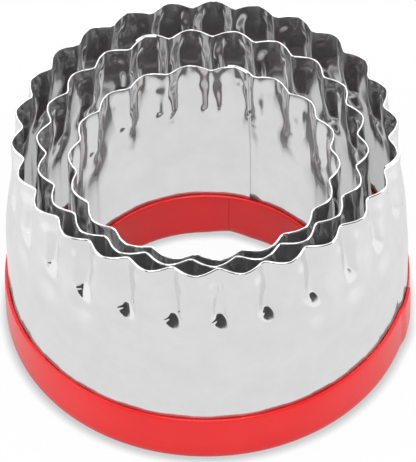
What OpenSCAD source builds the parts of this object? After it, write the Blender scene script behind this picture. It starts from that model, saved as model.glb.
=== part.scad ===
// Nest of three fluted biscuit cutters, fluted edge up.
// Each is a lapped steel band with a plastic grip pressed over its plain edge.

/* [Nest] */
// Height of each cutter, from the foot of its grip to its fluted edge
height = 50.8; // [44:0.2:60]
// Least gap left between two cutters where they lean on each other
nest_gap = 0.2; // [0.15:0.05:0.4]
// Direction in which the medium cutter leans inside the large one
medium_side = 260; // [0:5:355]
// Direction in which the small cutter leans inside the medium one
small_side = 275; // [0:5:355]

/* [Large cutter] */
// Diameter at the foot, to the middle of the strip
large_d = 82.8; // [78:0.2:90]
// Number of flutes round the edge
large_flutes = 26; // [22:1:30]
// Depth of a flute at the edge
large_depth = 1.9; // [1.2:0.02:2]
// Angle at which a flute's valley lies
large_turn = 11.55; // [0:0.05:16]
// Angle at which the outer end of the strip lies
large_seam = 351; // [0:1:359]

/* [Medium cutter] */
// Diameter at the foot, to the middle of the strip
medium_d = 70.4; // [68:0.2:73]
// Number of flutes round the edge
medium_flutes = 22; // [18:1:26]
// Depth of a flute at the edge
medium_depth = 1.88; // [1.2:0.02:2]
// Angle at which a flute's valley lies
medium_turn = 4.9; // [0:0.05:16]
// Angle at which the outer end of the strip lies
medium_seam = 115; // [0:1:359]

/* [Small cutter] */
// Diameter at the foot, to the middle of the strip
small_d = 55.6; // [50:0.2:58]
// Number of flutes round the edge
small_flutes = 18; // [14:1:22]
// Depth of a flute at the edge
small_depth = 1.5; // [1:0.02:1.9]
// Angle at which a flute's valley lies
small_turn = 7.4; // [0:0.05:20]
// Angle at which the outer end of the strip lies
small_seam = 80; // [0:1:359]

/* [Steel strip] */
// Thickness of the strip
strip = 0.4; // [0.2:0.05:0.5]
// Width over which the two ends of a strip lap
lap = 4.5; // [3:0.5:6]
// Length over which the outer end steps out before the lap
lap_step = 3; // [2:0.5:5]
// Gap between the two layers of the lap
lap_gap = 0.04; // [0.02:0.01:0.1]

/* [Flutes] */
// Length of a flute, from the edge down to where it runs out
flute_length = 15.1; // [12:0.1:20]
// Length of the flat ramp at its lower end
flute_ramp = 3.4; // [2:0.1:6]
// Share of the full depth left at the top of the ramp
flute_hold = 0.66; // [0.4:0.02:0.9]
// Roundness of the valley at the edge, small for a sharp fold
valley_round = 0.28; // [0.15:0.01:0.5]
// Half the width of the rounded valley above the ramp
valley_half = 1.9; // [1.4:0.1:2.6]
// How far the foot of the ramp rises at that half width
ramp_foot = 0.9; // [0:0.1:2]
// Distance below the edge at which the wall has leant in half way
lean_half = 16; // [12:0.5:20]
// How sharply the wall turns in
lean_power = 3.6; // [2:0.2:5]

/* [Grip] */
// Height of the grip
grip_height = 11.7; // [8:0.1:15]
// Thickness of each leg where it is widest
grip_leg = 1.1; // [0.9:0.05:1.3]
// Thickness of each leg at its rounded lip
grip_lip = 0.76; // [0.6:0.02:0.9]
// Thickness of the foot under the strip
grip_floor = 1.2; // [0.8:0.1:2]
// Width and height of the rounding from the foot to the widest place
grip_round_w = 0.8; // [0.4:0.1:0.9]
grip_round_h = 2.4; // [1:0.1:4]
// Clearance on each side of the strip in the slot
slot_clear = 0.06; // [0.04:0.01:0.1]
// Gap between the two ends of the grip
butt_gap = 0.3; // [0.2:0.1:1]
// Length over which the outer leg is doubled where it steps out over the lap
leg_overlap = 0.2; // [0.1:0.05:0.5]

/* [Hidden] */

steel = "silver";
red = [0.85, 0.12, 0.12];
round_sides = 96;

// A cutter is its foot radius, flutes, flute depth, valley angle and seam angle.
large = [large_d / 2, large_flutes, large_depth, large_turn, large_seam];
medium = [medium_d / 2, medium_flutes, medium_depth, medium_turn, medium_seam];
small = [small_d / 2, small_flutes, small_depth, small_turn, small_seam];

function foot_r(c) = c[0];
function flutes(c) = c[1];
function depth(c) = c[2];
function turn(c) = c[3];
function seam(c) = c[4];
function pitch(c) = 360 / flutes(c);

function total(v) = v * [for (x = v) 1];
function mix(a, b, t) = a + (b - a) * t;
function smooth(t) = let (x = min(1, max(0, t))) x * x * (3 - 2 * x);
function around(a) = [cos(a), sin(a)];
function arc_angle(length, r) = length / r * 180 / PI;

// Flute outline: 0 in the valley and 1 on the lobe, a softened sine cusp.
function lobe(u) = let (v = sin(180 * u), e = valley_round)
    (sqrt(v * v + e * e) - e) / (sqrt(1 + e * e) - e);

// Bending doesn't stretch the strip, so the fluted edge draws in until one flute
// takes as much strip as its share of the plain foot.
length_steps = 24;
function flute_point(c, lobe_r, u) = (lobe_r - depth(c) * (1 - lobe(u))) * around(u * pitch(c));
function flute_run(c, lobe_r) = total([for (i = [1 : length_steps])
    norm(flute_point(c, lobe_r, i / length_steps) - flute_point(c, lobe_r, (i - 1) / length_steps))]);
function drawn_in(c, lobe_r) = let (share = 2 * PI * foot_r(c) / flutes(c))
    lobe_r * share / flute_run(c, lobe_r);
function edge_r(c) = drawn_in(c, drawn_in(c, drawn_in(c, foot_r(c) - depth(c))));

// The wall stands straight in the grip and leans in towards the edge.
function lean_raw(z) = 1 / (1 + pow((height - z) / lean_half, lean_power));
function lean(z) = let (foot = lean_raw(grip_height)) max(0, (lean_raw(z) - foot) / (1 - foot));

flute_end = height - flute_length;
ramp_top = flute_end + flute_ramp;
function across(c, u) = (u - round(u)) * pitch(c) * PI / 180 * foot_r(c);
function groove(c, a, z) = let (
    u = (a - turn(c)) / pitch(c),
    aside = pow(across(c, u) / valley_half, 2),
    low = smooth((height - z) / (height - ramp_top)),
    flute = depth(c) * mix(1, flute_hold, low) * mix(1 - lobe(u), exp(-aside), low),
    ramp = depth(c) * flute_hold * (z - flute_end - ramp_foot * aside) / flute_ramp
) max(0, min(flute, ramp));

// Middle of the strip at angle a and height z, and its outward normal there.
normal_step = 0.1;
function wall(c, edge, a, z) = (mix(foot_r(c), edge, lean(z)) - groove(c, a, z)) * around(a);
function normal(c, edge, a, z) = let (
    t = wall(c, edge, a + normal_step, z) - wall(c, edge, a - normal_step, z)
) [t.y, -t.x] / norm(t);

// Angles at which the strip's outline is drawn: six to a flute, and the ends of the lap.
flute_steps = [0, 0.12, 0.27, 0.5, 0.73, 0.88];
widest_step = 0.23;
least_step = 0.4;
function head(c) = seam(c) - arc_angle(lap, foot_r(c));
function grid(c, a, b) = [
    for (i = [floor((a - turn(c)) / pitch(c)) : ceil((b - turn(c)) / pitch(c))], u = flute_steps)
        let (x = turn(c) + (i + u) * pitch(c))
            if (x > a + least_step && x < b - least_step) x
];
function columns(c) = let (a = head(c), b = seam(c)) [
    a, each grid(c, a, b),
    b, each grid(c, b, a + 360),
    a + 360, each grid(c, a + 360, b + 360),
    b + 360
];

// Heights at which it is drawn, close together on the ramp.
levels = [
    grip_floor,
    grip_height,
    mix(grip_height, flute_end, 0.5),
    mix(grip_height, flute_end, 0.8),
    flute_end,
    mix(flute_end, ramp_top, 0.5),
    ramp_top,
    mix(ramp_top, height, 0.5),
    height
];

// The outer end of the strip steps out by one thickness to lie over the inner end.
function step_out(c, a) = let (run = arc_angle(lap_step, foot_r(c)))
    (strip + lap_gap) * smooth((a - head(c) - 360 + run) / run);

module band(c) {
    edge = edge_r(c);
    angles = columns(c);
    cols = len(angles);
    rows = len(levels);
    points = [
        for (side = [strip / 2, -strip / 2], a = angles, z = levels)
            let (p = wall(c, edge, a, z) + normal(c, edge, a, z) * (side + step_out(c, a)))
                [p.x, p.y, z]
    ];
    function at(side, i, j) = (side * cols + i) * rows + j;
    top = rows - 1;
    last = cols - 1;
    skins = [for (i = [0 : last - 1], j = [0 : top - 1]) each [
        [at(0, i, j), at(0, i, j + 1), at(0, i + 1, j + 1)],
        [at(0, i, j), at(0, i + 1, j + 1), at(0, i + 1, j)],
        [at(1, i, j), at(1, i + 1, j + 1), at(1, i, j + 1)],
        [at(1, i, j), at(1, i + 1, j), at(1, i + 1, j + 1)]
    ]];
    edges = [for (i = [0 : last - 1]) each [
        [at(0, i, top), at(1, i, top), at(1, i + 1, top)],
        [at(0, i, top), at(1, i + 1, top), at(0, i + 1, top)],
        [at(0, i, 0), at(1, i + 1, 0), at(1, i, 0)],
        [at(0, i, 0), at(0, i + 1, 0), at(1, i + 1, 0)]
    ]];
    ends = [for (j = [0 : top - 1]) each [
        [at(0, 0, j + 1), at(0, 0, j), at(1, 0, j)],
        [at(0, 0, j + 1), at(1, 0, j), at(1, 0, j + 1)],
        [at(0, last, j), at(0, last, j + 1), at(1, last, j + 1)],
        [at(0, last, j), at(1, last, j + 1), at(1, last, j)]
    ]];
    polyhedron(points, concat(skins, edges, ends));
}

// The slot leaves room inside for the flats between the drawn angles.
function flat_rise(c) = foot_r(c) * (1 - cos(widest_step * pitch(c) / 2));
function slot_out(c) = strip / 2 + slot_clear;
function slot_in(c) = slot_out(c) + flat_rise(c);
function grip_out_r(c) = foot_r(c) + slot_out(c) + grip_leg;
function grip_in_r(c) = foot_r(c) - slot_in(c) - grip_leg;

// One leg of the grip with the floor under the strip: along the foot, up the outer face
// and over the lip to the slot's floor.
curve_steps = 6;
function leg(slot) = let (lip = grip_lip / 2, shoulder = grip_height - lip) concat(
    [[-strip / 2, 0]],
    [for (i = [0 : curve_steps]) let (a = 90 * i / curve_steps)
        [slot + grip_leg - grip_round_w * (1 - sin(a)), grip_round_h * (1 - cos(a))]],
    [for (i = [1 : curve_steps]) let (t = i / curve_steps)
        [slot + mix(grip_leg, grip_lip, t * t), mix(grip_round_h, shoulder, t)]],
    [for (i = [1 : curve_steps]) let (a = 180 * i / curve_steps)
        [slot + lip * (1 + cos(a)), shoulder + lip * sin(a)]],
    [[slot, grip_floor], [-strip / 2, grip_floor]]
);
function mirrored(points) = [for (p = points) [-p.x, p.y]];

module leg_run(c, from, angle, points) {
    rotate([0, 0, from])
        rotate_extrude(angle = angle, $fn = round_sides)
            translate([foot_r(c), 0])
                polygon(points);
}

// Over the lap the outer leg stands out by one more thickness of strip. Both of its runs
// stop inside the gap between the two ends of the grip.
module grip(c) {
    over_lap = arc_angle(lap + lap_step, foot_r(c));
    doubled = arc_angle(leg_overlap, foot_r(c));
    in_gap = arc_angle(butt_gap, foot_r(c)) / 4;
    stepped = slot_out(c) + strip + lap_gap;
    difference() {
        union() {
            leg_run(c, seam(c), 360, mirrored(leg(slot_in(c))));
            leg_run(c, seam(c) + in_gap, 360 - over_lap - in_gap, leg(slot_out(c)));
            leg_run(c, seam(c) - over_lap - doubled, over_lap + doubled - in_gap, leg(stepped));
        }
        rotate([0, 0, seam(c)])
            translate([foot_r(c), 0, 0])
                cube([grip_height, butt_gap, 3 * grip_height], center = true);
    }
}

// How far the inner cutter can lean out before its grip or its edge meets the outer one,
// found by small moves and tried at directions to each side of the one it leans in.
side_reach = 60;
side_turn = 2;
shift_step = 0.05;
function edge_at(c, edge, a) = norm(wall(c, edge, a, height));
function edge_gap(outer, outer_edge, inner, inner_edge, side, shift) = min([
    for (a = [side - side_reach : side_turn : side + side_reach])
        let (p = shift * around(side) + (edge_at(inner, inner_edge, a) + strip / 2) * around(a))
            edge_at(outer, outer_edge, atan2(p.y, p.x)) - strip / 2 - norm(p)
]);
function lean_over(outer, inner, side) = let (
    outer_edge = edge_r(outer),
    inner_edge = edge_r(inner),
    grip_limit = grip_in_r(outer) - grip_out_r(inner) - nest_gap
) max([0, each [
    for (shift = [0 : shift_step : grip_limit])
        if (edge_gap(outer, outer_edge, inner, inner_edge, side, shift) >= nest_gap) shift
]]);

medium_at = lean_over(large, medium, medium_side) * around(medium_side);
small_at = medium_at + lean_over(medium, small, small_side) * around(small_side);

module large_band() { color(steel) band(large); }
module large_grip() { color(red) grip(large); }
module medium_band() { color(steel) translate(medium_at) band(medium); }
module medium_grip() { color(red) translate(medium_at) grip(medium); }
module small_band() { color(steel) translate(small_at) band(small); }
module small_grip() { color(red) translate(small_at) grip(small); }

large_band();
large_grip();
medium_band();
medium_grip();
small_band();
small_grip();
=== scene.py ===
import math
from dataclasses import dataclass
from functools import cached_property

import bpy
import numpy as np
from mathutils import Matrix, Vector


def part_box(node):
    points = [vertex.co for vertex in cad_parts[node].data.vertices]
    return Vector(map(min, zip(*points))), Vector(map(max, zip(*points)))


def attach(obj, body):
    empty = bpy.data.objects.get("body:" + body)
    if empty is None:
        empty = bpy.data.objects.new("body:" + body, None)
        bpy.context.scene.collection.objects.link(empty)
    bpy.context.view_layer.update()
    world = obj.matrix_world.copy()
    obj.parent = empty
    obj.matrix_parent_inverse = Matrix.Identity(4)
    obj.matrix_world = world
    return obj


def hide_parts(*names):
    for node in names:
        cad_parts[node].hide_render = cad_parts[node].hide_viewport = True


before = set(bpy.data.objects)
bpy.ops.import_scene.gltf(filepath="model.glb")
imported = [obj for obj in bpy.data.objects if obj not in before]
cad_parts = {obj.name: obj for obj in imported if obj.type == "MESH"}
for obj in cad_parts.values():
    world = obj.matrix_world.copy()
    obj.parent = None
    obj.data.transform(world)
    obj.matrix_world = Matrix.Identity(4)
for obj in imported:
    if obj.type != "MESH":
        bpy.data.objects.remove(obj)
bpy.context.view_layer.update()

# Every length in this script is in metres, as in the frame, and every angle named up here is in degrees.
MM = 0.001
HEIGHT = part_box("large_band")[1].z

# Steel strip: its thickness, the round corners of its fluted edge, and the lap of its ends.
STRIP = 0.4 * MM
RIM_OUTER = 0.24 * MM
RIM_INNER = 0.14 * MM
LAP = 4.5 * MM
LAP_STEP = 3 * MM
LAP_GAP = 0.04 * MM

# Wall: how it leans in towards the fluted edge.
LEAN_HALF = 16 * MM
LEAN_POWER = 3.6

# Flutes: a rounded cusp at the edge, a soft V below it, and at the end a ramp with a nose and a round foot.
FLUTE_LENGTH = 15.1 * MM
FLUTE_RAMP = 3.7 * MM
FLUTE_END = HEIGHT - FLUTE_LENGTH
RAMP_TOP = FLUTE_END + FLUTE_RAMP
# The share of a flute's depth that is left at the top of its ramp.
FLUTE_HOLD = 0.66
VALLEY_ROUND = 0.28
VEE_HALF = 2.25 * MM
VEE_ROUND = 0.12
NOSE_HALF = 1.65 * MM
NOSE_POWER = 3
# On the way down low goes from 0 at the edge to 1 at the top of the ramp. The cusp has turned into the V
# where low is 1 / VEE_SOON, and the V starts to turn into the nose where low is NOSE_FROM.
VEE_SOON = 2.6
NOSE_FROM = 0.5
# How far the nose leans over from the foot of the ramp to its top.
SLANT = 0.9 * MM
FOOT_ROUND = 0.95 * MM
FOOT_POWER = 2.8
CREASE = 0.14 * MM

# A shallow hollow that the press leaves round the end of a flute.
HOLLOW = 0.62 * MM
HOLLOW_SPREAD = 3.2 * MM
HOLLOW_DOWN = 1.6 * MM

# A fold that the press leaves across the ramp: its height, half length, half width, place and tilt.
FOLD = 0.075 * MM
FOLD_LONG = 0.55 * MM
FOLD_WIDE = 0.2 * MM
FOLD_ASIDE = -1.75 * MM
FOLD_UP = 2.5 * MM
FOLD_TILT = 0.15

# How far the flutes stray from one another: their feet along the strip and up it, the lean of the nose, the
# fold's place up the ramp, and its height as a share.
STRAY_ALONG = 0.25 * MM
STRAY_UP = 0.3 * MM
STRAY_SLANT = 0.3 * MM
STRAY_FOLD_UP = 0.3 * MM
STRAY_FOLD = 0.3

# Spot weld: rings pressed into the lap below the edge.
WELD = 0.07 * MM
WELD_SIZE = 1.15 * MM
WELD_RING = 0.75 * MM
WELD_DOWN = 3.6 * MM

# Grip
GRIP_HEIGHT = 11.7 * MM
GRIP_LEG = 1.1 * MM
GRIP_LIP = 0.76 * MM
GRIP_FLOOR = 1.2 * MM
GRIP_ROUND_W = 0.8 * MM
GRIP_ROUND_H = 2.4 * MM
SLOT_CLEAR = 0.06 * MM
BUTT_GAP = 0.06 * MM
# How far the foot of the inner leg gives way at the joint, and how far along and up that reaches.
JOINT_GIVE = 0.8 * MM
JOINT_LONG = 5 * MM
JOINT_HIGH = 3 * MM

# At how many points the length of a flute's edge is measured, and how often the edge is fitted to it.
EDGE_SAMPLES = 25
EDGE_ROUNDS = 3
# How far to each side of a point the wall's direction is measured.
NORMAL_STEP = 0.05

# Meshes: how finely they are divided.
COLUMNS_A_FLUTE = 32
# How much closer together the columns stand in a valley than on average.
COLUMN_CROWD = 0.45
# How near to an end of the strip or of the lap a column may stand, as a share of the mean space between them.
COLUMN_CLEAR = 0.3
# Rows of the wall, close together where the flutes end: from, to and how many.
ROW_STRETCHES = [
    (GRIP_HEIGHT - 0.5 * MM, FLUTE_END - 2.5 * MM, 14),
    (FLUTE_END - 2.2 * MM, FLUTE_END - 0.8 * MM, 4),
    (FLUTE_END - 0.6 * MM, RAMP_TOP + 0.6 * MM, 28),
    (RAMP_TOP + MM, HEIGHT - RIM_OUTER, 20),
]
RIM_START = 15
RIM_STEPS = 4
GRIP_COLUMNS = 360
GRIP_ROUND_STEPS = 8
GRIP_LEG_STEPS = 12
GRIP_LIP_STEPS = 10
SHARP_ANGLE = 40
# The strip's UV map is in centimetres.
CM_IN_M = 100

# Looks of the steel
STEEL_TONES = [(0.35, (0.82, 0.82, 0.823)), (0.65, (0.86, 0.86, 0.862))]
STEEL_SMOOTHEST = 0.08
STEEL_ROUGHEST = 0.14
# Rolling lines run along the strip.
ROLLING = (0.35, 60, 1)

# Looks of the grip. Its red is painted a plain grey for glossy rays from further off and for all the light it
# bounces, a painted reflection and painted bounce light; only rays from right next to it see it red.
GRIP_TONES = [(0.3, (0.8, 0.012, 0.014)), (0.7, (0.84, 0.018, 0.02))]
GRIP_PAINTED_GREY = 0.17
RED_WITHIN = 0.4 * MM
PAINTED_GREY_BEYOND = 1.2 * MM

# Studio: the floor's own colour, its size, and how brightly the sky lights things.
FLOOR_COLOUR = 0.8
FLOOR_HALF = 3.0
FLOOR_STEPS = 24
SKY_LIGHT = 0.45
# Painted light across the floor: how far out to the left and right its painted darker middle goes, and where
# its painted brighter sides begin.
PAINTED_DARK_MIDDLE = 62 * MM
PAINTED_BRIGHT_SIDES = 115 * MM
# Painted shade on the floor, by ambient occlusion: how open the floor still is where its painted shade is
# full, and how many samples the occlusion takes.
FULL_PAINTED_SHADE = 0.5
PAINTED_SHADE_SAMPLES = 8

# Dark card, seen only in glossy reflections, where it paints dark reflections: how far off it stands, and how
# far it reaches to the left, to the right and up from straight in front of the object.
CARD_AWAY = 0.2
CARD_LEFT = 38
CARD_RIGHT = 72
CARD_HIGH = 58
CARD_COLUMNS = 24
PAINTED_REFLECTION_CARD_COLOUR = 0.012

# Lamps: name, place, size, and how bright each looks, where 1 is white.
LAMPS = [
    ("overhead", (0.0, 0.75, 0.95), (0.9, 0.6), 1.6),
    ("front", (0.0, -0.55, 0.95), (0.6, 0.4), 8.2),
    ("left", (-0.65, -0.14, 0.22), (0.5, 0.42), 2.1),
    ("right", (0.65, -0.1, 0.22), (0.5, 0.42), 2.1),
]

# Camera: its place, the direction in which it looks, and its lens, fitted to the photograph.
CAMERA_PLACE = Vector((7.735, -372.65, 426.79)) * MM
CAMERA_AIM = Vector((0, 0.6764, -0.7365))
CAMERA_UP = Vector((0, 0.7365, 0.6764))
FOCAL_PIXELS = 2659.3
IMAGE_W = 416
IMAGE_H = 462
CENTRE_PIXEL = (244.0, 232.9)
SENSOR = 36.0
CLIP_NEAR = 0.01
CLIP_FAR = 20


def arc_angle(length, radius):
    return math.degrees(length / radius)


@dataclass(frozen=True)
class Cutter:
    """One cutter: its flutes, and where its valleys and the outer end of its strip lie. drift is how far the
    flutes lean over on their way down."""
    name: str
    flutes: int
    depth: float
    turn: float
    seam: float
    drift: float
    seed: int

    @cached_property
    def grip_box(self):
        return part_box(self.name + "_grip")

    @cached_property
    def centre(self):
        low, high = self.grip_box
        return ((low.x + high.x) / 2, (low.y + high.y) / 2)

    @cached_property
    def foot_r(self):
        low, high = self.grip_box
        return (high.x - low.x) / 2 - GRIP_LEG - SLOT_CLEAR - STRIP / 2

    @property
    def pitch(self):
        return 360 / self.flutes

    @property
    def head(self):
        """Where the inner end of the strip lies."""
        return self.seam - arc_angle(LAP, self.foot_r)


CUTTERS = [
    Cutter("large", flutes=26, depth=1.9 * MM, turn=11.55, seam=351, drift=0.7 * MM, seed=3),
    Cutter("medium", flutes=22, depth=1.88 * MM, turn=4.9, seam=115, drift=0.3 * MM, seed=5),
    Cutter("small", flutes=18, depth=1.5 * MM, turn=7.4, seam=80, drift=0.3 * MM, seed=7),
]


@dataclass(frozen=True)
class FloorLook:
    """How much of the floor is shaded by the light on it, how bright its glow is where its painted shade by
    ambient occlusion is full, in the middle and at the sides, where 1 is white, with the middle painted
    darker than the sides, and how far out from the object the painted shade goes."""
    shaded: float
    painted_shade_glow: float
    middle: float
    sides: float
    painted_shade_reach: float


# The floor's glow as the camera sees it, and a painted look for reflections: much darker in the middle than
# at the sides, with painted shade that goes further out from the object.
FLOOR_SEEN = FloorLook(shaded=0.06, painted_shade_glow=0.56, middle=0.93, sides=0.96, painted_shade_reach=2.2 * MM)
FLOOR_PAINTED_IN_REFLECTIONS = FloorLook(shaded=0.03, painted_shade_glow=0.5, middle=0.78, sides=0.97, painted_shade_reach=6 * MM)


# Curves

def mix(a, b, t):
    return a + (b - a) * t


def smooth(t):
    x = np.clip(t, 0, 1)
    return x * x * (3 - 2 * x)


def bell(t):
    return np.exp(-t * t)


def soft_min(a, b, corner):
    return 0.5 * (a + b - np.sqrt((a - b) ** 2 + corner * corner))


def soft_floor(t, corner):
    """t where it is above 0 and 0 below, with a rounded corner."""
    return 0.5 * (t + np.sqrt(t * t + corner * corner))


def soft_size(t, corner):
    """The size of a number, rounded at 0."""
    return np.sqrt(t * t + corner * corner) - corner


# The wall, as the cutter is pressed: leaning in towards the edge, with a flute that ends in a ramp.

def lobe(u):
    """Flute outline: 0 in the valley and 1 on the lobe, a softened sine cusp."""
    return soft_size(np.sin(math.pi * u), VALLEY_ROUND) / soft_size(1, VALLEY_ROUND)


def edge_radius(cutter):
    """Bending doesn't stretch the strip, so the fluted edge draws in to use as much strip as the plain
    foot."""
    u = np.linspace(0, 1, EDGE_SAMPLES)
    angle = np.radians(u * cutter.pitch)
    share = 2 * math.pi * cutter.foot_r / cutter.flutes
    lobe_r = cutter.foot_r - cutter.depth
    for _ in range(EDGE_ROUNDS):
        r = lobe_r - cutter.depth * (1 - lobe(u))
        run = np.hypot(np.diff(r * np.cos(angle)), np.diff(r * np.sin(angle))).sum()
        lobe_r *= share / run
    return lobe_r


def lean_raw(z):
    return 1 / (1 + ((HEIGHT - z) / LEAN_HALF) ** LEAN_POWER)


def lean(z):
    foot = lean_raw(GRIP_HEIGHT)
    return np.maximum(0, (lean_raw(z) - foot) / (1 - foot))


def flute_share(u, x, slant, low):
    """How deep the flute is across it, as a share of its depth in the middle."""
    cusp = 1 - lobe(u)
    vee = soft_floor(1 - soft_size(x / VEE_HALF, VEE_ROUND), VEE_ROUND)
    nose = np.exp(-np.abs(slant / NOSE_HALF) ** NOSE_POWER)
    above = mix(cusp, vee, smooth(VEE_SOON * low))
    return mix(above, nose, smooth((low - NOSE_FROM) / (1 - NOSE_FROM)))


def ramp_depth(cutter, slant, up):
    """How deep the ramp lets the flute be."""
    above_foot = up - FOOT_ROUND * np.abs(slant / NOSE_HALF) ** FOOT_POWER
    return soft_floor(above_foot * cutter.depth * FLUTE_HOLD / FLUTE_RAMP, CREASE)


def hollow(x, up):
    return HOLLOW * bell(x / HOLLOW_SPREAD) * bell((up + HOLLOW_DOWN) / HOLLOW_SPREAD)


def fold(x, up, stray_up, stray_height):
    along = x - FOLD_ASIDE
    across = up - FOLD_UP - STRAY_FOLD_UP * stray_up - FOLD_TILT * along
    return FOLD * (1 + STRAY_FOLD * stray_height) * bell(along / FOLD_LONG) * bell(across / FOLD_WIDE)


def weld(cutter, angle, z):
    """The rings of the spot weld at the middle of the lap."""
    middle = cutter.seam - arc_angle(LAP, cutter.foot_r) / 2
    along = np.radians((angle - middle + 180) % 360 - 180) * cutter.foot_r
    away = np.hypot(along, z - HEIGHT + WELD_DOWN)
    return WELD * bell(away / WELD_SIZE) * np.cos(2 * math.pi * away / WELD_RING)


def groove(cutter, angle, z):
    """How far the flute is pressed in at an angle and a height."""
    u = (angle - cutter.turn) / cutter.pitch
    nearest = np.round(u)
    # Five strays from -1 to 1 for each flute, drawn together.
    strays = np.random.default_rng(cutter.seed).uniform(-1, 1, (5, cutter.flutes))
    along, rise, turn, fold_up, fold_height = strays[:, nearest.astype(int) % cutter.flutes]
    low = smooth((HEIGHT - z) / (HEIGHT - RAMP_TOP))
    aside = (cutter.drift + STRAY_ALONG * along) * low
    x = (u - nearest) * math.radians(cutter.pitch) * cutter.foot_r - aside
    up = z - (FLUTE_END + STRAY_UP * rise)
    slant = x + (SLANT + STRAY_SLANT * turn) * (np.clip(up / FLUTE_RAMP, 0, 1) - 0.5) * low
    flute = cutter.depth * mix(1, FLUTE_HOLD, low) * flute_share(u, x, slant, low)
    pressed = soft_min(flute, ramp_depth(cutter, slant, up), CREASE)
    return pressed + hollow(x, up) - fold(x, up, fold_up, fold_height) + weld(cutter, angle, z)


def wall_point(cutter, edge, angle, z):
    r = mix(cutter.foot_r, edge, lean(z)) - groove(cutter, angle, z)
    return np.stack([r * np.cos(np.radians(angle)), r * np.sin(np.radians(angle))], axis=-1)


def wall_normal(cutter, edge, angle, z):
    after = wall_point(cutter, edge, angle + NORMAL_STEP, z)
    tangent = after - wall_point(cutter, edge, angle - NORMAL_STEP, z)
    normal = np.stack([tangent[..., 1], -tangent[..., 0]], axis=-1)
    return normal / np.linalg.norm(normal, axis=-1, keepdims=True)


def step_out(cutter, angle):
    """The outer end of the strip steps out by one thickness to lie over the inner end."""
    run = arc_angle(LAP_STEP, cutter.foot_r)
    return (STRIP + LAP_GAP) * smooth((angle - cutter.head - 360 + run) / run)


# Meshes

def new_mesh_object(name, points, faces, material):
    mesh = bpy.data.meshes.new(name)
    mesh.from_pydata(points.tolist(), [], faces)
    mesh.validate()
    mesh.materials.append(material)
    mesh.shade_smooth()
    mesh.set_sharp_from_angle(angle=math.radians(SHARP_ANGLE))
    obj = bpy.data.objects.new(name, mesh)
    bpy.context.scene.collection.objects.link(obj)
    return obj


def ring_faces(columns, ring):
    """Quads between neighbouring rings, each ring closed."""
    faces = []
    for i in range(columns - 1):
        for j in range(ring):
            k = (j + 1) % ring
            faces.append((i * ring + j, (i + 1) * ring + j, (i + 1) * ring + k, i * ring + k))
    return faces


def band_end_faces(columns, ring):
    """Quads that close the two ends of a band."""
    last = (columns - 1) * ring
    faces = []
    for j in range(ring // 2 - 1):
        k = ring - 1 - j
        faces.append((j, j + 1, k - 1, k))
        faces.append((last + j + 1, last + j, last + k, last + k - 1))
    return faces


def column_angles(cutter):
    """Angles along the strip, at the same places in each flute, so that the two layers of the lap match."""
    start, end = cutter.head, cutter.seam + 360
    marks = np.array([start, cutter.seam, cutter.head + 360, end])
    t = np.arange(COLUMNS_A_FLUTE) / COLUMNS_A_FLUTE
    places = t - COLUMN_CROWD * np.sin(2 * math.pi * t) / (2 * math.pi)
    first = math.floor((start - cutter.turn) / cutter.pitch)
    last = math.ceil((end - cutter.turn) / cutter.pitch)
    grid = [cutter.turn + (i + u) * cutter.pitch for i in range(first, last + 1) for u in places]
    near = COLUMN_CLEAR * cutter.pitch / COLUMNS_A_FLUTE
    clear = [x for x in grid if start < x < end and np.abs(marks - x).min() > near]
    return np.sort(np.concatenate([marks, clear]))


def skin_section(corner):
    """(height, place across the strip) of one skin, from the foot up and round the rim's corner."""
    half = STRIP / 2
    foot = [GRIP_FLOOR, 0.5 * GRIP_HEIGHT]
    rows = np.concatenate([foot, *(np.linspace(*stretch) for stretch in ROW_STRETCHES)])
    turns = np.radians(np.linspace(RIM_START, 90, RIM_STEPS))
    rim = [(HEIGHT - corner * (1 - math.sin(t)), half - corner * (1 - math.cos(t))) for t in turns]
    return [(z, half) for z in rows] + rim


def band_section():
    """Up the outer skin of the strip, over the rim and down the inner skin."""
    return skin_section(RIM_OUTER) + [(z, -side) for z, side in reversed(skin_section(RIM_INNER))]


def make_band(cutter, material):
    edge = edge_radius(cutter)
    angles = column_angles(cutter)
    z, side = (np.array(values) for values in zip(*band_section()))
    heights = np.broadcast_to(z, (len(angles), len(z)))
    turned = np.broadcast_to(angles[:, None], heights.shape)
    out = (side + step_out(cutter, turned))[..., None]
    flat = wall_point(cutter, edge, turned, heights) + wall_normal(cutter, edge, turned, heights) * out
    x, y = cutter.centre
    points = np.dstack([flat[..., 0] + x, flat[..., 1] + y, heights]).reshape(-1, 3)
    faces = ring_faces(len(angles), len(z)) + band_end_faces(len(angles), len(z))
    obj = new_mesh_object(cutter.name + "_steel", points, faces, material)
    add_strip_map(obj, cutter, angles, z)
    return obj


def add_strip_map(obj, cutter, angles, z):
    """A UV map: along the strip, and up it."""
    along = np.radians(angles) * cutter.foot_r
    u = np.repeat(along, len(z)) * CM_IN_M
    v = np.tile(z, len(angles)) * CM_IN_M
    layer = obj.data.uv_layers.new(name="strip")
    index = np.empty(len(obj.data.loops), dtype=np.int32)
    obj.data.loops.foreach_get("vertex_index", index)
    layer.data.foreach_set("uv", np.stack([u[index], v[index]], axis=-1).ravel())


def leg_section(slot):
    """One leg of the grip: (place, height) from the foot up its outer face and over the lip to the slot
    floor."""
    lip = GRIP_LIP / 2
    shoulder = GRIP_HEIGHT - lip
    points = []
    for t in np.linspace(0, 1, GRIP_ROUND_STEPS + 1):
        out = 1 - math.sin(t * math.pi / 2)
        rise = 1 - math.cos(t * math.pi / 2)
        points.append((slot + GRIP_LEG - GRIP_ROUND_W * out, GRIP_ROUND_H * rise))
    for t in np.linspace(0, 1, GRIP_LEG_STEPS + 1)[1:]:
        points.append((slot + mix(GRIP_LEG, GRIP_LIP, t * t), mix(GRIP_ROUND_H, shoulder, t)))
    for t in np.linspace(0, 1, GRIP_LIP_STEPS + 1)[1:]:
        points.append((slot + lip * (1 + math.cos(t * math.pi)), shoulder + lip * math.sin(t * math.pi)))
    points.append((slot, GRIP_FLOOR))
    return points


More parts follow.
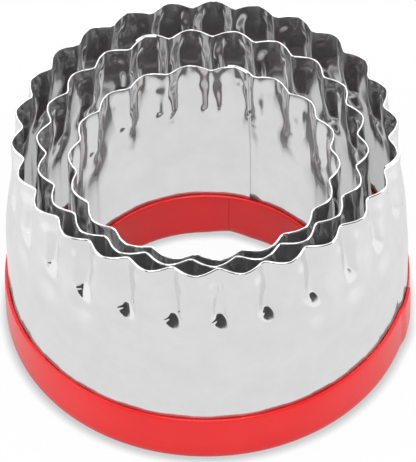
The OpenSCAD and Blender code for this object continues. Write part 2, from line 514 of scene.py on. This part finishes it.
def make_grip(cutter, material):
    butt = arc_angle(BUTT_GAP, cutter.foot_r)
    angles = np.linspace(cutter.seam + butt / 2, cutter.seam + 360 - butt / 2, GRIP_COLUMNS + 1)
    slot = STRIP / 2 + SLOT_CLEAR
    outer = leg_section(slot)
    inner = [(-x, z) for x, z in reversed(outer)]
    x, z = (np.array(values) for values in zip(*outer, *inner))
    turned = np.broadcast_to(angles[:, None], (len(angles), len(x)))
    out = step_out(cutter, turned) * (x > 0)
    from_joint = np.radians(np.minimum(turned - angles[0], angles[-1] - turned)) * cutter.foot_r
    give = JOINT_GIVE * np.maximum(0, 1 - from_joint / JOINT_LONG) * np.exp(-z / JOINT_HIGH)
    r = cutter.foot_r + x + out + give * (x < -slot)
    points = np.dstack([
        cutter.centre[0] + r * np.cos(np.radians(turned)),
        cutter.centre[1] + r * np.sin(np.radians(turned)),
        np.broadcast_to(z, r.shape),
    ]).reshape(-1, 3)
    ring = len(x)
    last = (len(angles) - 1) * ring
    faces = ring_faces(len(angles), ring)
    faces.append(tuple(range(ring)))
    faces.append(tuple(last + j for j in reversed(range(ring))))
    return new_mesh_object(cutter.name + "_guard", points, faces, material)


# Materials

def new_material(name):
    material = bpy.data.materials.new(name)
    material.use_nodes = True
    nodes = material.node_tree.nodes
    nodes.clear()
    return material, nodes, material.node_tree.links


def grey(level):
    return (level, level, level, 1)


def add_node(nodes, kind, **inputs):
    """A node with some of its inputs set. An underscore stands for a space in an input's name."""
    node = nodes.new(kind)
    for name, value in inputs.items():
        node.inputs[name.replace("_", " ")].default_value = value
    return node


def add_math(nodes, links, operation, *values):
    node = nodes.new("ShaderNodeMath")
    node.operation = operation
    for value, into in zip(values, node.inputs):
        links.new(value, into)
    return node


def add_range(nodes, links, value, **limits):
    node = add_node(nodes, "ShaderNodeMapRange", **limits)
    links.new(value, node.inputs["Value"])
    return node


def add_noise(nodes, links, place, **settings):
    noise = add_node(nodes, "ShaderNodeTexNoise", **settings)
    links.new(place, noise.inputs["Vector"])
    return noise.outputs["Fac"]


def add_tones(nodes, links, value, tones):
    """A ramp between two colours, each with its place."""
    ramp = nodes.new("ShaderNodeValToRGB")
    for element, (place, colour) in zip(ramp.color_ramp.elements, tones):
        element.position = place
        element.color = (*colour, 1)
    links.new(value, ramp.inputs["Fac"])
    return ramp.outputs["Color"]


def add_bump(nodes, links, height, shader, strength, distance):
    bump = add_node(nodes, "ShaderNodeBump", Strength=strength, Distance=distance)
    links.new(height, bump.inputs["Height"])
    links.new(bump.outputs["Normal"], shader.inputs["Normal"])


def mix_shaders(nodes, links, share, first, second):
    mixed = nodes.new("ShaderNodeMixShader")
    links.new(share, mixed.inputs["Fac"])
    links.new(first, mixed.inputs[1])
    links.new(second, mixed.inputs[2])
    return mixed.outputs["Shader"]


def set_surface(nodes, links, surface, kind="ShaderNodeOutputMaterial"):
    output = nodes.new(kind)
    links.new(surface, output.inputs["Surface"])


def steel_material():
    """Rolled strip, bright and a little blotchy."""
    material, nodes, links = new_material("rolled_steel")
    shader = add_node(nodes, "ShaderNodeBsdfPrincipled", Metallic=0.95)
    set_surface(nodes, links, shader.outputs["BSDF"])

    place = nodes.new("ShaderNodeUVMap")
    place.uv_map = "strip"
    stretch = add_node(nodes, "ShaderNodeMapping", Scale=ROLLING)
    links.new(place.outputs["UV"], stretch.inputs["Vector"])
    lines = add_noise(nodes, links, stretch.outputs["Vector"], Scale=4.0, Detail=4.0, Roughness=0.65)
    blotch = add_noise(nodes, links, place.outputs["UV"], Scale=1.4, Detail=3.0, Roughness=0.6)
    links.new(add_tones(nodes, links, blotch, STEEL_TONES), shader.inputs["Base Color"])

    rough = add_range(
        nodes, links, lines,
        From_Min=0.3, From_Max=0.7, To_Min=STEEL_SMOOTHEST, To_Max=STEEL_ROUGHEST,
    )
    links.new(rough.outputs["Result"], shader.inputs["Roughness"])
    add_bump(nodes, links, lines, shader, strength=0.06, distance=0.02 * MM)
    return material


def grip_material():
    """Soft red vinyl, with painted reflection and painted bounce light: glossy rays from further off and all
    diffuse rays see it plain grey.
    """
    material, nodes, links = new_material("soft_red_vinyl")
    shader = add_node(nodes, "ShaderNodeBsdfPrincipled", Roughness=0.22, Specular_IOR_Level=0.35)
    set_surface(nodes, links, shader.outputs["BSDF"])

    place = nodes.new("ShaderNodeTexCoord").outputs["Object"]
    cloud = add_noise(nodes, links, place, Scale=90.0, Detail=3.0, Roughness=0.5)
    # Painted reflection and bounce light: the base colour turns plain grey for glossy rays longer than a
    # millimetre or so and for all diffuse rays.
    path = nodes.new("ShaderNodeLightPath")
    beyond = add_range(nodes, links, path.outputs["Ray Length"], From_Min=RED_WITHIN, From_Max=PAINTED_GREY_BEYOND)
    away = add_math(
        nodes, links, "MULTIPLY_ADD",
        path.outputs["Is Glossy Ray"], beyond.outputs["Result"], path.outputs["Is Diffuse Ray"],
    )
    painted_reflection = nodes.new("ShaderNodeMix")
    painted_reflection.data_type = "RGBA"
    painted_reflection.inputs["B"].default_value = grey(GRIP_PAINTED_GREY)
    links.new(away.outputs["Value"], painted_reflection.inputs["Factor"])
    links.new(add_tones(nodes, links, cloud, GRIP_TONES), painted_reflection.inputs["A"])
    links.new(painted_reflection.outputs["Result"], shader.inputs["Base Color"])

    peel = add_noise(nodes, links, place, Scale=900.0, Detail=2.0)
    add_bump(nodes, links, peel, shader, strength=0.08, distance=0.1 * MM)
    return material


def seen_directly(nodes, links):
    """1 for camera, glossy and transmission rays, 0 for the rays that light things."""
    path = nodes.new("ShaderNodeLightPath")
    first = add_math(nodes, links, "ADD", path.outputs["Is Camera Ray"], path.outputs["Is Glossy Ray"])
    both = add_math(nodes, links, "ADD", first.outputs["Value"], path.outputs["Is Transmission Ray"])
    both.use_clamp = True
    return both.outputs["Value"]


def floor_with_painted_shade(nodes, links, look):
    """A diffuse surface, part shaded by the light on it and part a plain glow, with painted shadow: ambient
    occlusion darkens the glow close to the object, and the glow is painted darker in the middle than at the
    sides.
    """
    shade = add_node(nodes, "ShaderNodeBsdfDiffuse", Color=grey(look.shaded))
    place = nodes.new("ShaderNodeTexCoord")
    across = nodes.new("ShaderNodeSeparateXYZ")
    links.new(place.outputs["Object"], across.inputs["Vector"])
    away = add_math(nodes, links, "ABSOLUTE", across.outputs["X"])
    # Painted light and shade: the glow is painted darker in the middle of the floor and brighter at its
    # sides.
    plain = add_range(
        nodes, links, away.outputs["Value"],
        From_Min=PAINTED_DARK_MIDDLE, From_Max=PAINTED_BRIGHT_SIDES, To_Min=look.middle, To_Max=look.sides,
    )
    plain.interpolation_type = "SMOOTHSTEP"
    # Painted shadow: ambient occlusion darkens the floor's glow close to the object.
    painted_shade = add_node(nodes, "ShaderNodeAmbientOcclusion", Distance=look.painted_shade_reach)
    painted_shade.samples = PAINTED_SHADE_SAMPLES
    level = add_range(nodes, links, painted_shade.outputs["AO"], From_Min=FULL_PAINTED_SHADE, To_Min=look.painted_shade_glow)
    links.new(plain.outputs["Result"], level.inputs["To Max"])
    glow = nodes.new("ShaderNodeEmission")
    links.new(level.outputs["Result"], glow.inputs["Strength"])
    both = nodes.new("ShaderNodeAddShader")
    links.new(shade.outputs["BSDF"], both.inputs[0])
    links.new(glow.outputs["Emission"], both.inputs[1])
    return both.outputs["Shader"]


def floor_material():
    """Pale diffuse floor that shows white, with painted shadow close to the object and a small share of real
    shading, and a darker painted look of its own in reflections.
    """
    material, nodes, links = new_material("pale_floor")
    own = add_node(nodes, "ShaderNodeBsdfDiffuse", Color=grey(FLOOR_COLOUR))
    seen = floor_with_painted_shade(nodes, links, FLOOR_SEEN)
    painted_reflection = floor_with_painted_shade(nodes, links, FLOOR_PAINTED_IN_REFLECTIONS)
    glossy = nodes.new("ShaderNodeLightPath").outputs["Is Glossy Ray"]
    lit = mix_shaders(nodes, links, seen_directly(nodes, links), own.outputs["BSDF"], seen)
    set_surface(nodes, links, mix_shaders(nodes, links, glossy, lit, painted_reflection))
    return material


# The card's near-black colour, which only reflections show: a painted dark reflection.
def reflection_only_dark_material():
    material, nodes, links = new_material("dark_card")
    dark = add_node(nodes, "ShaderNodeBsdfDiffuse", Color=grey(PAINTED_REFLECTION_CARD_COLOUR))
    set_surface(nodes, links, dark.outputs["BSDF"])
    return material


# Studio

def make_sky():
    world = bpy.data.worlds.new("studio")
    bpy.context.scene.world = world
    world.use_nodes = True
    nodes = world.node_tree.nodes
    links = world.node_tree.links
    nodes.clear()
    strength = add_range(nodes, links, seen_directly(nodes, links), To_Min=SKY_LIGHT, To_Max=1)
    background = add_node(nodes, "ShaderNodeBackground", Color=grey(1))
    links.new(strength.outputs["Result"], background.inputs["Strength"])
    set_surface(nodes, links, background.outputs["Background"], "ShaderNodeOutputWorld")


def make_floor():
    line = np.linspace(-FLOOR_HALF, FLOOR_HALF, FLOOR_STEPS + 1)
    points = np.array([(x, y, 0) for x in line for y in line])
    faces = []
    for i in range(FLOOR_STEPS):
        for j in range(FLOOR_STEPS):
            k = i * (FLOOR_STEPS + 1) + j
            faces.append((k, k + FLOOR_STEPS + 1, k + FLOOR_STEPS + 2, k + 1))
    floor = new_mesh_object("floor", points, faces, floor_material())


def make_reflection_only_card():
    """A dark card in front of the object that only glossy reflections see: it casts no shadow and is hidden
    from the camera and from bounced light, a painted dark reflection in the steel.
    """
    front = -90
    across = np.radians(np.linspace(front - CARD_LEFT, front + CARD_RIGHT, CARD_COLUMNS + 1))
    top = CARD_AWAY * math.tan(math.radians(CARD_HIGH))
    foot = [(CARD_AWAY * math.cos(a), CARD_AWAY * math.sin(a)) for a in across]
    points = np.array([(x, y, z) for x, y in foot for z in (0, top)])
    faces = [(2 * i, 2 * i + 2, 2 * i + 3, 2 * i + 1) for i in range(CARD_COLUMNS)]
    card = new_mesh_object("dark_card", points, faces, reflection_only_dark_material())
    card.visible_camera = False
    card.visible_diffuse = False
    card.visible_transmission = False
    card.visible_shadow = False


def add_softbox(name, place, size, level):
    """An area lamp that faces the object."""
    lamp = bpy.data.lights.new(name, "AREA")
    lamp.shape = "RECTANGLE"
    lamp.size, lamp.size_y = size
    lamp.energy = level * math.pi * size[0] * size[1]
    obj = bpy.data.objects.new(name, lamp)
    bpy.context.scene.collection.objects.link(obj)
    obj.location = place
    aim = Vector((0, 0, HEIGHT / 2)) - Vector(place)
    obj.rotation_euler = aim.to_track_quat("-Z", "Y").to_euler()


def make_camera():
    data = bpy.data.cameras.new("camera")
    data.sensor_width = SENSOR
    data.lens = FOCAL_PIXELS * SENSOR / IMAGE_H
    data.clip_start = CLIP_NEAR
    data.clip_end = CLIP_FAR
    right = (IMAGE_W / 2 - CENTRE_PIXEL[0]) / FOCAL_PIXELS
    up = (CENTRE_PIXEL[1] - IMAGE_H / 2) / FOCAL_PIXELS
    back = -(CAMERA_AIM + Vector((right, 0, 0)) + up * CAMERA_UP).normalized()
    x = Vector((1, 0, 0))
    x = (x - x.dot(back) * back).normalized()
    y = back.cross(x)
    turn = Matrix((x, y, back)).transposed().to_4x4()
    camera = bpy.data.objects.new("camera", data)
    camera.matrix_world = Matrix.Translation(CAMERA_PLACE) @ turn
    bpy.context.scene.collection.objects.link(camera)
    bpy.context.scene.camera = camera


make_camera()
make_sky()
make_floor()
make_reflection_only_card()
for lamp in LAMPS:
    add_softbox(*lamp)

steel = steel_material()
red = grip_material()
for cutter in CUTTERS:
    body = cutter.name + "_cutter"
    band = make_band(cutter, steel)
    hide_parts(cutter.name + "_band")
    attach(band, body)
    grip = make_grip(cutter, red)
    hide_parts(cutter.name + "_grip")
    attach(grip, body)

bpy.context.scene.view_settings.view_transform = "Standard"
# Light is thrown many times between the walls of a nest.
bpy.context.scene.cycles.glossy_bounces = 12
